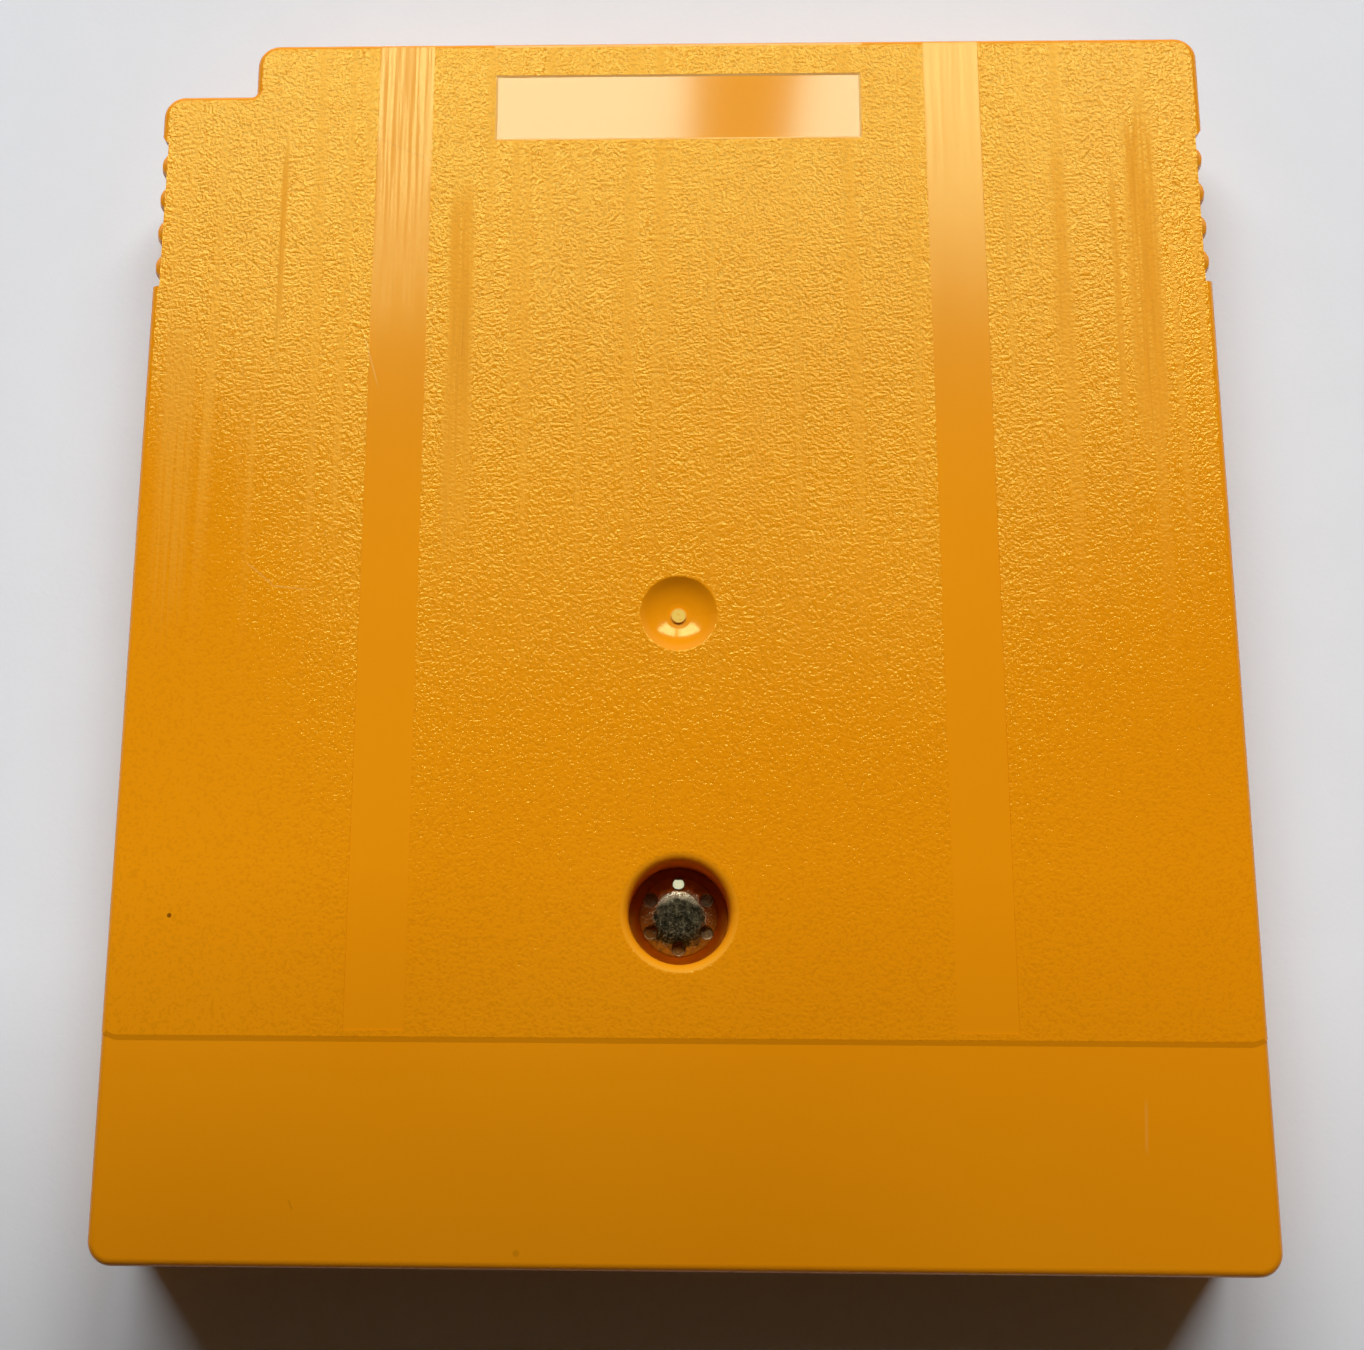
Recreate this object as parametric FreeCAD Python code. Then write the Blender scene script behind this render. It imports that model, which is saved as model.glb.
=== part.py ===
import FreeCAD, Part

import math
import os

from FreeCAD import Vector

# Game cartridge for a handheld console, lying on its front face with the rear face up.
# Two moulded shell halves close over a small circuit board and are held by one screw.
# X runs across the width, Y from the contact mouth to the grip end, and Z up from the front
# face to the rear face. The origin is the middle of the front face. Sizes are millimetres.

# Contact row, which sets the width of the board and of the case
FINGER_COUNT = 32
FINGER_PITCH = 1.5
FINGER_WIDTH = 1.0
FINGER_LENGTH = 6.5
FINGER_THICKNESS = 0.05
FINGER_INSET = 0.3

# Circuit board
BOARD_SIDE_MARGIN = 1.55
BOARD_LENGTH = 49.0
BOARD_THICKNESS = 0.8
BOARD_INSET = 1.0
BOARD_CORNER_R = 1.0
BOARD_HOLE_GAP = 0.35

# Case: walls, the room inside, and the height of the parting line above the front face
LENGTH = 65.0
SIDE_WALL = 1.8
TOP_WALL = 2.4
FACE_WALL = 1.15
BOARD_SIDE_GAP = 1.4
BOARD_BACK_GAP = 0.5
CHIP_ROOM = 4.2
PARTING_Z = 3.9
CORNER_R = 1.2
FACE_EDGE_R = 0.4
FRONT_BEVEL = 0.4
SEAM_BEVEL = 0.12

# Contact mouth
MOUTH_SIDE_GAP = 0.45
MOUTH_LENGTH = 5.0

# Lock notch in one corner of the grip end
NOTCH_WIDTH = 5.1
NOTCH_DEPTH = 3.1
NOTCH_INNER_R = 0.25

# Finger grips on both long sides
GRIP_FROM_TOP = 5.25
GRIP_PITCH = 2.0
GRIP_RIDGES = 4
GRIP_RIDGE_WIDTH = 1.5
GRIP_DEPTH = 0.43
GRIP_FALL = 0.6

# Raised rear panel above the plain contact band
BAND_LENGTH = 10.6
STEP_HEIGHT = 0.08
STEP_RUN = 0.28
STEP_END_R = 1.2
STEP_END_TURN = math.radians(53)

# Smooth guide strips and the smooth plate on the rear panel
STRIP_WIDTH = 3.0
STRIP_SPACING = 30.0
STRIP_DEPTH = 0.03
STRIP_ABOVE_STEP = 0.3
PLATE_WIDTH = 20.1
PLATE_LENGTH = 3.95
PLATE_FROM_TOP = 2.05
PLATE_DEPTH = 0.05
PLATE_EDGE_RUN = 0.12

# Gate dimple in the middle of the rear panel
DIMPLE_FROM_MOUTH = 32.23
DIMPLE_DIAMETER = 4.06
DIMPLE_FLOOR_R = 4.8
DIMPLE_SIDE_R = 2.5
DIMPLE_SIDE_SLOPE = math.radians(40)
DIMPLE_LIP_R = 0.15
GATE_DIAMETER = 0.75
GATE_HEIGHT = 0.15
GATE_ROOT = 0.3

# Screw, its well in the rear shell and its post in the front shell
SCREW_FROM_MOUTH = 16.97
HEAD_SINK = 2.4
HEAD_HEIGHT = 1.5
HEAD_DIAMETER = 4.05
HEAD_CLEARANCE = 0.525
HEAD_FLANGE = 0.2
CROWN_DIAMETER = 2.7
CROWN_HEIGHT = 0.45
FLUTE_COUNT = 6
FLUTE_R = 0.38
FLUTE_CIRCLE = 3.3
SHANK_DIAMETER = 2.3
SHANK_CHAMFER = 0.3
WELL_RIM_R = 0.5
WELL_WALL = 1.1
WELL_FLOOR = 0.9
POST_WALL = 1.5
POST_FLOOR = 0.5
POST_HOLE_SPARE = 0.2
SHANK_PASS_GAP = 0.25
THREAD_GAP = 0.02

# Lap joint along the sides and hooks at the grip end
LIP_HEIGHT = 0.8
LIP_THICKNESS = 0.7
LIP_FROM_MOUTH = 9.0
LIP_FROM_TOP = 11.0
HOOK_SPACING = 28.0
HOOK_WIDTH = 6.0
HOOK_POST = 1.3
HOOK_REACH = 1.2
HOOK_THICKNESS = 0.9
HOOK_UNDER_REAR = 0.6
SHELL_GAP = 0.1

# What locates the board: pegs, rails and ribs in the rear shell, stubs in the front shell
PEG_DIAMETER = 2.2
PEG_GAP = 0.2
PEG_FROM_MOUTH = 41.0
PEG_PAST_BOARD = 0.5
RAIL_WIDTH = 1.5
RAIL_FROM_EDGE = 1.3
RAIL_END_GAP = 1.5
RIB_WIDTH = 1.2
RIB_SPACING = 10.0
RIB_COUNT = 4
RIB_LENGTH = 7.0
STUB_SIZE = 2.0
STUB_FROM_EDGE = 0.1
STUB_FROM_TOP = 1.0
STUB_FINGER_GAP = 0.2

# Front face: bare label recess, bare name-plate recess, grooves beside it, insertion arrow
LABEL_WIDTH = 42.6
LABEL_LENGTH = 37.6
LABEL_FROM_TOP = 16.0
LABEL_DEPTH = 0.3
LABEL_CORNER_R = 2.0
PILL_WIDTH = 45.0
PILL_LENGTH = 8.4
PILL_DEPTH = 0.3
GROOVE_LENGTH = 4.6
GROOVE_WIDTH = 0.9
GROOVE_DEPTH = 0.3
ARROW_WIDTH = 5.0
ARROW_LENGTH = 4.2
ARROW_FROM_MOUTH = 3.4
ARROW_DEPTH = 0.25

# Chip packages: gull-wing leads and the form of the bodies
LEAD_PITCH = 1.27
LEAD_WIDTH = 0.42
LEAD_THICKNESS = 0.2
LEAD_REACH = 1.2
LEAD_FOOT = 0.6
CHIP_STANDOFF = 0.1
CHIP_DRAFT = 0.2
CHIP_WAIST = 0.3
MARK_WIDTH = 1.2
MARK_LENGTH = 0.7

# Parts in line along the grip-end edge of the board
TOP_ROW_FROM_EDGE = 5.2
TOP_ROW_FROM_MOUTH = BOARD_INSET + BOARD_LENGTH - TOP_ROW_FROM_EDGE

# The chips: centre across and from the mouth, body size, and leads along each long side
CHIPS = {
    "rom_chip": {"x": -12.6, "from_mouth": 30.0, "length": 20.6, "width": 11.2, "height": 2.6, "leads": 16},
    "mapper_chip": {"x": -12.6, "from_mouth": 16.3, "length": 15.4, "width": 7.5, "height": 2.3, "leads": 12},
    "ram_chip": {"x": 13.8, "from_mouth": 16.3, "length": 18.0, "width": 8.4, "height": 2.4, "leads": 14},
    "supervisor_chip": {
        "x": -17.5,
        "from_mouth": TOP_ROW_FROM_MOUTH,
        "length": 5.0,
        "width": 3.9,
        "height": 1.6,
        "leads": 4,
    },
}

# Coin cell and its welded tabs
CELL_X = 13.5
CELL_FROM_MOUTH = 35.0
CELL_DIAMETER = 16.0
CELL_HEIGHT = 1.6
CELL_CAP_DIAMETER = 13.2
CELL_CAP_RISE = 0.25
TAB_WIDTH = 3.6
TAB_THICKNESS = 0.2
TAB_OVERLAP = 5.0
TAB_OUT = 0.8
TAB_FOOT = 2.0

# Small two-ended parts: their size with the metal ends, and their places across and from the mouth
CAPACITOR = {"length": 2.0, "width": 1.25, "height": 0.9, "cap": 0.4}
CAPACITOR_PLACES = [(-11.0, TOP_ROW_FROM_MOUTH), (-7.0, TOP_ROW_FROM_MOUTH), (1.6, 27.0), (1.6, 33.0)]
RESISTOR = {"length": 1.6, "width": 0.8, "height": 0.5, "cap": 0.3}
RESISTOR_PLACES = [(-3.2, TOP_ROW_FROM_MOUTH), (0.4, TOP_ROW_FROM_MOUTH), (4.0, TOP_ROW_FROM_MOUTH)]

# Places worked out from the sizes above
BOARD_HALF_W = ((FINGER_COUNT - 1) * FINGER_PITCH + FINGER_WIDTH) / 2 + BOARD_SIDE_MARGIN
CAVITY_HALF_W = BOARD_HALF_W + BOARD_SIDE_GAP
HALF_W = CAVITY_HALF_W + SIDE_WALL
BOARD_PART_Z = FACE_WALL + CHIP_ROOM
BOARD_BACK_Z = BOARD_PART_Z + BOARD_THICKNESS
REAR_INNER_Z = BOARD_BACK_Z + BOARD_BACK_GAP
REAR_Z = REAR_INNER_Z + FACE_WALL
BAND_Z = REAR_Z - STEP_HEIGHT
MOUTH_Y = -LENGTH / 2
TOP_Y = LENGTH / 2
STEP_Y = MOUTH_Y + BAND_LENGTH
CAVITY_TOP_Y = TOP_Y - TOP_WALL
BOARD_MOUTH_Y = MOUTH_Y + BOARD_INSET
BOARD_TOP_Y = BOARD_MOUTH_Y + BOARD_LENGTH
FINGER_END_Y = BOARD_MOUTH_Y + FINGER_INSET + FINGER_LENGTH
PEG_Y = MOUTH_Y + PEG_FROM_MOUTH
SCREW_Y = MOUTH_Y + SCREW_FROM_MOUTH
HEAD_TOP_Z = REAR_Z - HEAD_SINK
SEAT_Z = HEAD_TOP_Z - HEAD_HEIGHT
POST_TOP_Z = SEAT_Z - WELL_FLOOR
POST_HOLE_Z = LABEL_DEPTH + POST_FLOOR
WELL_R = HEAD_DIAMETER / 2 + HEAD_CLEARANCE
WELL_OUTER_R = WELL_R + WELL_WALL
SHANK_R = SHANK_DIAMETER / 2
GRIP_TOP_Y = TOP_Y - GRIP_FROM_TOP
GRIP_BOTTOM_Y = GRIP_TOP_Y - (GRIP_RIDGES + 1) * GRIP_PITCH + GRIP_RIDGE_WIDTH / 2
HOOK_TOP_Z = REAR_INNER_Z - HOOK_UNDER_REAR
CELL_Y = MOUTH_Y + CELL_FROM_MOUTH
CELL_TOP_Z = BOARD_PART_Z - TAB_THICKNESS
CELL_LOW_Z = CELL_TOP_Z - CELL_HEIGHT

# How far a cutting shape runs past the face it opens, and how close counts as in one plane
OVERCUT = 1.0
IN_PLANE = 1e-6


def flat_face(points):
    """A flat face with straight sides through a list of vectors."""
    return Part.Face(Part.makePolygon(points + points[:1]))


def corner_arc(corner, before, after, radius):
    """The rounding of a corner between two straight sides, as start, arc and end."""
    inward = (before - corner).normalize()
    outward = (after - corner).normalize()
    half = inward.getAngle(outward) / 2
    run = radius / math.tan(half)
    bisector = (inward + outward).normalize()
    start = corner + inward * run
    middle = corner + bisector * (radius / math.sin(half) - radius)
    end = corner + outward * run
    return start, Part.Arc(start, middle, end).toShape(), end


def rounded_face(corners):
    """A flat face from (x, y, radius) corners."""
    points = [Vector(x, y, 0) for x, y, _ in corners]
    rounded = []
    for i, (_, _, radius) in enumerate(corners):
        after = points[(i + 1) % len(points)]
        rounded.append(corner_arc(points[i], points[i - 1], after, radius))
    edges = []
    for i, (_, arc, end) in enumerate(rounded):
        next_start = rounded[(i + 1) % len(rounded)][0]
        edges += [arc, Part.LineSegment(end, next_start).toShape()]
    return Part.Face(Part.Wire(edges))


def rounded_rectangle(x0, x1, y0, y1, radius):
    """A flat rectangle with four equal rounded corners."""
    return rounded_face([(x0, y0, radius), (x1, y0, radius), (x1, y1, radius), (x0, y1, radius)])


def prism(face, low, high):
    """A flat face carried from one height to another."""
    solid = face.extrude(Vector(0, 0, high - low))
    solid.translate(Vector(0, 0, low))
    return solid


def block(x0, x1, y0, y1, z0, z1):
    """A rectangular block between two corners."""
    return Part.makeBox(x1 - x0, y1 - y0, z1 - z0, Vector(x0, y0, z0))


def rod(x, y, low, high, radius):
    """An upright cylinder."""
    return Part.makeCylinder(radius, high - low, Vector(x, y, low))


def turned(section):
    """A solid turned about the Z axis from a closed (radius, height) section with straight sides."""
    profile = flat_face([Vector(radius, 0, height) for radius, height in section])
    return profile.revolve(Vector(0, 0, 0), Vector(0, 0, 1), 360)


def drafted(x, y, length, width, levels):
    """A four-sided solid about a centre, drawn in at each of its levels, which are (height, inset) pairs."""
    wires = []
    for height, inset in levels:
        half_l = length / 2 - inset
        half_w = width / 2 - inset
        signs = [(-1, -1), (1, -1), (1, 1), (-1, 1), (-1, -1)]
        wires.append(Part.makePolygon([Vector(x + a * half_l, y + b * half_w, height) for a, b in signs]))
    return Part.makeLoft(wires, True, True)


def edges_at(solid, height):
    """Every edge that lies in the flat face at the given height."""
    edges = []
    for edge in solid.Edges:
        box = edge.BoundBox
        if max(abs(box.ZMin - height), abs(box.ZMax - height)) < IN_PLANE:
            edges.append(edge)
    return edges


def mirror_pair(shape):
    """A shape and its mirror image across the middle of the cartridge."""
    return [shape, shape.mirror(Vector(0, 0, 0), Vector(1, 0, 0))]


def cut_all(shape, cutters):
    """A shape with each cutter taken out of it in turn."""
    for cutter in cutters:
        shape = shape.cut(cutter)
    return shape


def fuse_all(shape, additions):
    """A shape with each addition joined to it in turn."""
    for addition in additions:
        shape = shape.fuse(addition)
    return shape


def moulded(shape):
    """One clean moulding: the solid with its seams between like faces removed."""
    return shape.removeSplitter().Solids[0]


def grip_end_corners():
    """Outline corners round the grip end: the plain corner, then the lock notch."""
    notch_x = NOTCH_WIDTH - HALF_W
    notch_y = TOP_Y - NOTCH_DEPTH
    return [
        (HALF_W, TOP_Y, CORNER_R),
        (notch_x, TOP_Y, CORNER_R),
        (notch_x, notch_y, NOTCH_INNER_R),
        (-HALF_W, notch_y, CORNER_R),
    ]


def case_outline():
    """Outline of the whole cartridge seen from the rear."""
    mouth_corners = [(-HALF_W, MOUTH_Y, CORNER_R), (HALF_W, MOUTH_Y, CORNER_R)]
    return rounded_face(mouth_corners + grip_end_corners())


def step_end():
    """The corner outside the rear panel where its lower edge sweeps up to the side."""
    run = STEP_END_R * math.sin(STEP_END_TURN)
    rise = STEP_END_R - STEP_END_R * math.cos(STEP_END_TURN)
    half_run = STEP_END_R * math.sin(STEP_END_TURN / 2)
    half_rise = STEP_END_R - STEP_END_R * math.cos(STEP_END_TURN / 2)
    start = Vector(HALF_W - run, STEP_Y, 0)
    middle = Vector(HALF_W - run + half_run, STEP_Y + half_rise, 0)
    end = Vector(HALF_W, STEP_Y + rise, 0)
    below = Vector(HALF_W, STEP_Y, 0)
    edges = [
        Part.Arc(start, middle, end).toShape(),
        Part.LineSegment(end, below).toShape(),
        Part.LineSegment(below, start).toShape(),
    ]
    return Part.Face(Part.Wire(edges))


def band_clearance():
    """What is cleared below and over the contact band, with the step's slope as its far side."""
    band = Part.makePlane(2 * HALF_W, BAND_LENGTH, Vector(-HALF_W, MOUTH_Y, 0))
    past_slope = Vector(0, STEP_RUN, STEP_HEIGHT) * 2
    clearance = []
    for face in [band] + mirror_pair(step_end()):
        clearance.append(prism(face, REAR_INNER_Z - OVERCUT, BAND_Z))
        face.translate(Vector(0, 0, BAND_Z))
        clearance.append(face.extrude(past_slope))
    return clearance


def rear_panel():
    """The raised rear panel, from the sloped step up to the grip end, with its edge rounded."""
    panel = prism(case_outline(), REAR_INNER_Z, REAR_Z)
    panel = panel.makeFillet(FACE_EDGE_R, edges_at(panel, REAR_Z))
    return cut_all(panel, band_clearance())


def grip_cutters(low, high):
    """What is cut from the long sides to leave the shoulder and ridges, which fall away at the rear face."""
    ridge_half = GRIP_RIDGE_WIDTH / 2
    ridge_r = (ridge_half**2 + GRIP_DEPTH**2) / (2 * GRIP_DEPTH)
    ridge_x = HALF_W - ridge_r
    hollow = block(HALF_W - GRIP_DEPTH, HALF_W + OVERCUT, GRIP_BOTTOM_Y, GRIP_TOP_Y, low, high)
    hollow = hollow.cut(rod(ridge_x, GRIP_TOP_Y, low, high, ridge_r))
    bend = 1 - math.sqrt(1 / 2)
    for i in range(GRIP_RIDGES):
        ridge = turned([
            (0, -OVERCUT),
            (ridge_r, -OVERCUT),
            (ridge_r, REAR_Z - GRIP_FALL),
            (ridge_r - GRIP_DEPTH * bend, REAR_Z - GRIP_FALL * bend),
            (ridge_r - GRIP_DEPTH, REAR_Z),
            (0, REAR_Z),
        ])
        ridge.translate(Vector(ridge_x, GRIP_TOP_Y - (i + 1) * GRIP_PITCH, 0))
        hollow = hollow.cut(ridge)
    return mirror_pair(hollow)


def cavity(low, high):
    """The room inside either half, clear of the lock notch, and the contact mouth that opens it."""
    room_y = MOUTH_Y + MOUTH_LENGTH
    room = block(-CAVITY_HALF_W, CAVITY_HALF_W, room_y, CAVITY_TOP_Y, low, high)
    notch_x = NOTCH_WIDTH - HALF_W + SIDE_WALL
    notch_y = TOP_Y - NOTCH_DEPTH - TOP_WALL
    room = room.cut(block(-HALF_W, notch_x, notch_y, TOP_Y, low, high))
    mouth_half = BOARD_HALF_W + MOUTH_SIDE_GAP
    return room.fuse(block(-mouth_half, mouth_half, MOUTH_Y - OVERCUT, room_y, low, high))


def lap_lips(gap):
    """The lips along both sides. A gap above 0 gives the rebates that take them."""
    lip = block(
        CAVITY_HALF_W - gap,
        CAVITY_HALF_W + LIP_THICKNESS + gap,
        MOUTH_Y + LIP_FROM_MOUTH - gap,
        TOP_Y - LIP_FROM_TOP + gap,
        PARTING_Z,
        PARTING_Z + LIP_HEIGHT + gap,
    )
    return mirror_pair(lip)


def hook_tongues(gap):
    """The two tongues that lock into the grip-end wall. A gap above 0 gives their pockets."""
    centre = HOOK_SPACING / 2
    half = HOOK_WIDTH / 2 + gap
    tongue = block(
        centre - half,
        centre + half,
        CAVITY_TOP_Y - HOOK_POST,
        CAVITY_TOP_Y + HOOK_REACH + gap,
        HOOK_TOP_Z - HOOK_THICKNESS - gap,
        HOOK_TOP_Z + gap,
    )
    return mirror_pair(tongue)


def hook_posts():
    """The upright of each hook, standing on the front wall just inside the grip-end wall."""
    centre = HOOK_SPACING / 2
    half = HOOK_WIDTH / 2
    low_y = CAVITY_TOP_Y - HOOK_POST
    return mirror_pair(block(centre - half, centre + half, low_y, CAVITY_TOP_Y, FACE_WALL, HOOK_TOP_Z))


def screw_well():
    """The round well above the screw's seat, with a rounded rim, and the hole through the seat."""
    rim_outer_r = WELL_R + WELL_RIM_R
    rim_low_z = REAR_Z - WELL_RIM_R
    diagonal = WELL_RIM_R / math.sqrt(2)
    corners = [
        Vector(rim_outer_r, 0, REAR_Z),
        Vector(rim_outer_r, 0, REAR_Z + OVERCUT),
        Vector(0, 0, REAR_Z + OVERCUT),
        Vector(0, 0, SEAT_Z),
        Vector(WELL_R, 0, SEAT_Z),
        Vector(WELL_R, 0, rim_low_z),
    ]
    rim_middle = Vector(rim_outer_r - diagonal, 0, rim_low_z + diagonal)
    rim = Part.Arc(corners[-1], rim_middle, corners[0]).toShape()
    profile = Part.Face(Part.Wire([Part.makePolygon(corners), rim]))
    well = profile.revolve(Vector(0, 0, 0), Vector(0, 0, 1), 360)
    well.translate(Vector(0, SCREW_Y, 0))
    return well.fuse(rod(0, SCREW_Y, POST_TOP_Z - OVERCUT, SEAT_Z + HEAD_FLANGE, SHANK_R + SHANK_PASS_GAP))


def slope_arc(centre, radius, first, last):
    """An arc of a turned profile between two slopes, as start, arc and end. A radius below 0 hollows it."""
    points = []
    for slope in (first, (first + last) / 2, last):
        points.append(centre + Vector(-math.sin(slope), 0, math.cos(slope)) * radius)
    return points[0], Part.Arc(*points).toShape(), points[2]


def with_gate_dimple(shell):
    """The shell with a dished dimple round its moulding gate, and the stub of the gate left in it."""
    lip = Vector(DIMPLE_DIAMETER / 2, 0, REAR_Z - DIMPLE_LIP_R)
    reach = DIMPLE_LIP_R + DIMPLE_SIDE_R
    side = lip + Vector(-math.sin(DIMPLE_SIDE_SLOPE), 0, math.cos(DIMPLE_SIDE_SLOPE)) * reach
    floor_slope = math.asin(side.x / (DIMPLE_FLOOR_R - DIMPLE_SIDE_R))
    floor = Vector(0, 0, side.z + side.x / math.tan(floor_slope))
    edge, lip_arc, _ = slope_arc(lip, DIMPLE_LIP_R, 0, DIMPLE_SIDE_SLOPE)
    _, side_arc, _ = slope_arc(side, -DIMPLE_SIDE_R, DIMPLE_SIDE_SLOPE, floor_slope)
    _, floor_arc, bottom = slope_arc(floor, -DIMPLE_FLOOR_R, floor_slope, 0)
    above = REAR_Z + OVERCUT
    lid = Part.makePolygon([bottom, Vector(0, 0, above), Vector(edge.x, 0, above), edge])
    profile = Part.Face(Part.Wire([lip_arc, side_arc, floor_arc, lid]))
    dish = profile.revolve(Vector(0, 0, 0), Vector(0, 0, 1), 360)
    dimple_y = MOUTH_Y + DIMPLE_FROM_MOUTH
    dish.translate(Vector(0, dimple_y, 0))
    gate = rod(0, dimple_y, bottom.z - GATE_ROOT, bottom.z + GATE_HEIGHT, GATE_DIAMETER / 2)
    return shell.cut(dish).fuse(gate)


def rear_recesses():
    """The two smooth guide strips and the bare smooth plate, each a shallow recess in the panel."""
    inner_x = (STRIP_SPACING - STRIP_WIDTH) / 2
    end_y = STEP_Y + STEP_RUN + STRIP_ABOVE_STEP
    above = REAR_Z + OVERCUT
    strip = block(inner_x, inner_x + STRIP_WIDTH, end_y, TOP_Y + OVERCUT, REAR_Z - STRIP_DEPTH, above)
    plate_y = TOP_Y - PLATE_FROM_TOP - PLATE_LENGTH / 2
    levels = [(REAR_Z - PLATE_DEPTH, PLATE_EDGE_RUN), (REAR_Z, 0), (above, 0)]
    plate = drafted(0, plate_y, PLATE_WIDTH, PLATE_LENGTH, levels)
    return mirror_pair(strip) + [plate]


def board_rests():
    """Rails along the board's sides, ribs behind its contacts and pegs in its edge notches."""
    low_y = BOARD_MOUTH_Y + RAIL_END_GAP
    high_y = BOARD_TOP_Y - RAIL_END_GAP
    rail_x = BOARD_HALF_W - RAIL_FROM_EDGE
    rail = block(rail_x - RAIL_WIDTH, rail_x, low_y, high_y, BOARD_BACK_Z, REAR_INNER_Z)
    peg = rod(BOARD_HALF_W, PEG_Y, BOARD_PART_Z - PEG_PAST_BOARD, REAR_INNER_Z, PEG_DIAMETER / 2)
    rests = mirror_pair(rail) + mirror_pair(peg)
    for i in range(RIB_COUNT):
        rib_x = (i - (RIB_COUNT - 1) / 2) * RIB_SPACING - RIB_WIDTH / 2
        rests.append(block(rib_x, rib_x + RIB_WIDTH, low_y, low_y + RIB_LENGTH, BOARD_BACK_Z, REAR_INNER_Z))
    return rests


def rear_shell():
    """Rear half: raised panel, contact band, screw well, board rests and grip ridges."""
    base = prism(case_outline(), PARTING_Z, BAND_Z)
    base = base.makeFillet(FACE_EDGE_R, edges_at(base, BAND_Z))
    base = base.makeChamfer(SEAM_BEVEL, edges_at(base, PARTING_Z))
    shell = moulded(base.fuse(rear_panel())).cut(cavity(PARTING_Z - OVERCUT, REAR_INNER_Z))
    well_tube = rod(0, SCREW_Y, POST_TOP_Z, REAR_INNER_Z, WELL_OUTER_R)
    shell = moulded(fuse_all(shell, board_rests() + [well_tube]))
    grips = grip_cutters(PARTING_Z - OVERCUT, REAR_Z + OVERCUT)
    fits = lap_lips(SHELL_GAP) + hook_tongues(SHELL_GAP) + [screw_well()]
    shell = cut_all(shell, fits + rear_recesses() + grips)
    return moulded(with_gate_dimple(shell))


def label_recess():
    """The bare recess on the front face where a label would sit."""
    top = TOP_Y - LABEL_FROM_TOP
    half = LABEL_WIDTH / 2
    face = rounded_rectangle(-half, half, top - LABEL_LENGTH, top, LABEL_CORNER_R)
    return prism(face, -OVERCUT, LABEL_DEPTH)


def pill_recess():
    """The bare round-ended recess above the label, level with the grips."""
    radius = PILL_LENGTH / 2
    middle_y = (GRIP_TOP_Y + GRIP_BOTTOM_Y) / 2
    end_x = PILL_WIDTH / 2 - radius
    ends = mirror_pair(rod(end_x, middle_y, -OVERCUT, PILL_DEPTH, radius))
    return fuse_all(block(-end_x, end_x, middle_y - radius, middle_y + radius, -OVERCUT, PILL_DEPTH), ends)


def front_grooves():
    """Grooves that carry each grip hollow in from the side across the front face."""
    grooves = []
    for i in range(GRIP_RIDGES + 1):
        low_y = GRIP_TOP_Y - (i + 1 / 2) * GRIP_PITCH - GROOVE_WIDTH / 2
        high_y = low_y + GROOVE_WIDTH
        groove = block(HALF_W - GROOVE_LENGTH, HALF_W + OVERCUT, low_y, high_y, -OVERCUT, GROOVE_DEPTH)
        grooves += mirror_pair(groove)
    return grooves


def insertion_arrow():
    """The arrow recess that points at the contact mouth."""
    tip_y = MOUTH_Y + ARROW_FROM_MOUTH
    base_y = tip_y + ARROW_LENGTH
    half = ARROW_WIDTH / 2
    face = flat_face([Vector(0, tip_y, 0), Vector(half, base_y, 0), Vector(-half, base_y, 0)])
    return prism(face, -OVERCUT, ARROW_DEPTH)


def board_stubs():
    """Four stubs in the front shell that hold the board against the rests behind it."""
    outer_x = BOARD_HALF_W - STUB_FROM_EDGE
    stubs = []
    for low_y in (FINGER_END_Y + STUB_FINGER_GAP, BOARD_TOP_Y - STUB_FROM_TOP - STUB_SIZE):
        high_y = low_y + STUB_SIZE
        stubs += mirror_pair(block(outer_x - STUB_SIZE, outer_x, low_y, high_y, FACE_WALL, BOARD_PART_Z))
    return stubs


def front_shell():
    """Front half: label side, with the screw post, lap lips, hooks and board stubs."""
    shell = prism(case_outline(), 0, PARTING_Z)
    shell = shell.makeChamfer(FRONT_BEVEL, edges_at(shell, 0))
    shell = shell.makeChamfer(SEAM_BEVEL, edges_at(shell, PARTING_Z))
    shell = shell.cut(cavity(FACE_WALL, PARTING_Z + OVERCUT))
    hole_r = SHANK_R + THREAD_GAP
    post = rod(0, SCREW_Y, FACE_WALL, POST_TOP_Z, hole_r + POST_WALL)
    additions = lap_lips(0) + hook_tongues(0) + hook_posts() + board_stubs() + [post]
    shell = moulded(fuse_all(shell, additions))
    cutters = [rod(0, SCREW_Y, POST_HOLE_Z, POST_TOP_Z + OVERCUT, hole_r)]
    cutters += [label_recess(), pill_recess(), insertion_arrow()] + front_grooves()
    cutters += grip_cutters(-OVERCUT, PARTING_Z + OVERCUT)
    return moulded(cut_all(shell, cutters))


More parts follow.
